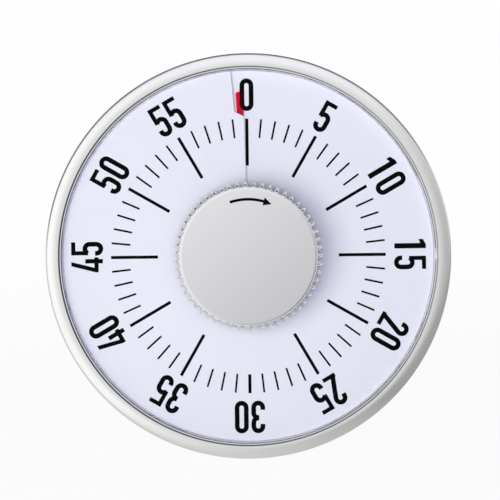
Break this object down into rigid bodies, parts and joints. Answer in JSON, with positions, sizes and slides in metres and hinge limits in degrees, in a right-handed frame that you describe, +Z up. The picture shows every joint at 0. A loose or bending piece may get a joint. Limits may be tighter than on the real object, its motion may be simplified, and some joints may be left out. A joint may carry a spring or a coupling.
{
  "type": "visual countdown timer",
  "caption": "Round wind-up visual countdown timer: white numbered dial with a slit, red countdown disc, knurled silver knob, silver bezel, fold-out leg and magnets at the back.",
  "frame": {"origin": "on the floor under the centre of the box, with the timer standing on its bezel and its open leg", "axes": "+Z up, the dial faces -Y and leans back, +X to the right of someone facing the dial"},
  "size_m": [0.15, 0.0895, 0.1489],
  "materials": {
    "satin_silver": "satin anodised, finely blasted",
    "ring_wire": "bright drawn wire",
    "knob_silver": "satin, knurled skirt",
    "knob_plate": "fine satin with a bright bevel",
    "clear_acrylic": "clear, flat, polished",
    "dial_sheet": "white printed sheet, slightly satin",
    "white_abs": "moulded, fine matt",
    "black_ink": "screen-printed ink",
    "red_film": "translucent red film",
    "red_hub": "moulded",
    "housing_abs": "moulded, fine spark-eroded texture",
    "inner_plate": "mill finish sheet",
    "screw_steel": "zinc plated",
    "magnet_nickel": "nickel plated",
    "steel": "turned and hardened",
    "spring_steel": "blued spring steel",
    "bell_steel": "nickel plated",
    "brass": "stamped sheet",
    "spring_brass": "half-hard",
    "bronze": "sintered bearing",
    "rubber": "matt moulded"
  },
  "bodies": {
    "case": {"bezel": "satin_silver", "lens_retaining_ring": "ring_wire", "lens": "clear_acrylic", "dial_seat_ring": "white_abs", "dial_ramp": "white_abs", "dial": "dial_sheet", "dial_numerals": "black_ink", "minute_marks": "black_ink", "carrier_plate": "inner_plate", "rear_housing": "housing_abs", "case_screws": "screw_steel", "magnets": "magnet_nickel", "mainspring": "spring_steel", "spring_barrel": "brass", "movement_front_plate": "brass", "movement_back_plate": "brass", "plate_pillars": "brass", "pillar_screws": "screw_steel", "movement_spacers": "brass", "movement_screws": "screw_steel", "arbor_bushings": "bronze", "hammer_spring": "spring_steel", "bell": "bell_steel", "bell_post": "brass", "bell_screw": "screw_steel", "stand_pin": "screw_steel"},
    "rotor": {"knob_body": "knob_silver", "knob_face": "knob_plate", "knob_arrow": "black_ink", "main_arbor": "steel", "main_wheel": "brass", "ratchet_wheel": "steel", "click_spring": "spring_brass", "signal_cam": "spring_brass"},
    "countdown_disc": {"disc_hub": "red_hub", "red_disc": "red_film", "disc_tab": "red_film"},
    "click": {"click_pawl": "steel"},
    "second_arbor": {"second_wheel": "brass", "second_pinion": "steel"},
    "third_arbor": {"third_wheel": "brass", "third_pinion": "steel"},
    "escape_arbor": {"escape_wheel": "brass", "escape_pinion": "steel"},
    "pallets": {"pallet_lever": "steel", "pallet_arbor": "steel", "inertia_bar": "steel"},
    "hammer": {"hammer_arm": "steel", "hammer_arbor": "steel", "hammer_head": "spring_brass"},
    "stand": {"stand_leg": "housing_abs", "stand_feet": "rubber"}
  },
  "joints": [
    {"name": "knob_turn", "type": "hinge", "parent": "case", "child": "rotor", "pos_m": [0, -0.02534, 0.076], "axis": [0, 0.9781, -0.2079], "range_deg": [0, 360]},
    {"name": "disc_advance", "type": "slide", "parent": "rotor", "child": "countdown_disc", "axis": [0, -0.9781, 0.2079], "range_m": [0, 0.0016]},
    {"name": "click_swing", "type": "hinge", "parent": "rotor", "child": "click", "pos_m": [0.0096, -0.00734, 0.07749], "axis": [0, -0.9781, 0.2079], "range_deg": [0, 14], "stiffness_Nm_per_rad": 0.0008},
    {"name": "second_spin", "type": "hinge", "parent": "case", "child": "second_arbor", "pos_m": [-0.01973, -0.00737, 0.06484], "axis": [0, 0.9781, -0.2079], "continuous": true},
    {"name": "third_spin", "type": "hinge", "parent": "case", "child": "third_arbor", "pos_m": [-0.01028, -0.00891, 0.04843], "axis": [0, 0.9781, -0.2079], "continuous": true},
    {"name": "escape_spin", "type": "hinge", "parent": "case", "child": "escape_arbor", "pos_m": [0.00626, -0.00776, 0.04521], "axis": [0, 0.9781, -0.2079], "continuous": true},
    {"name": "pallet_rock", "type": "hinge", "parent": "case", "child": "pallets", "pos_m": [0.01528, -0.00707, 0.04842], "axis": [0, 0.9781, -0.2079], "range_deg": [-3, 3]},
    {"name": "hammer_swing", "type": "hinge", "parent": "case", "child": "hammer", "pos_m": [0.01524, 0.00027, 0.08392], "axis": [0, 0.9781, -0.2079], "range_deg": [-1.5, 12], "stiffness_Nm_per_rad": 0.002},
    {"name": "stand_fold", "type": "hinge", "parent": "case", "child": "stand", "pos_m": [0, 0.01261, 0.07611], "axis": [-1, 0, 0], "range_deg": [0, 32]}
  ],
  "couplings": [
    {"joint": "disc_advance", "follows": "knob_turn", "m_per_rad": 0.00025465},
    {"joint": "second_spin", "follows": "knob_turn", "ratio": -6},
    {"joint": "third_spin", "follows": "knob_turn", "ratio": 36},
    {"joint": "escape_spin", "follows": "knob_turn", "ratio": -216}
  ]
}
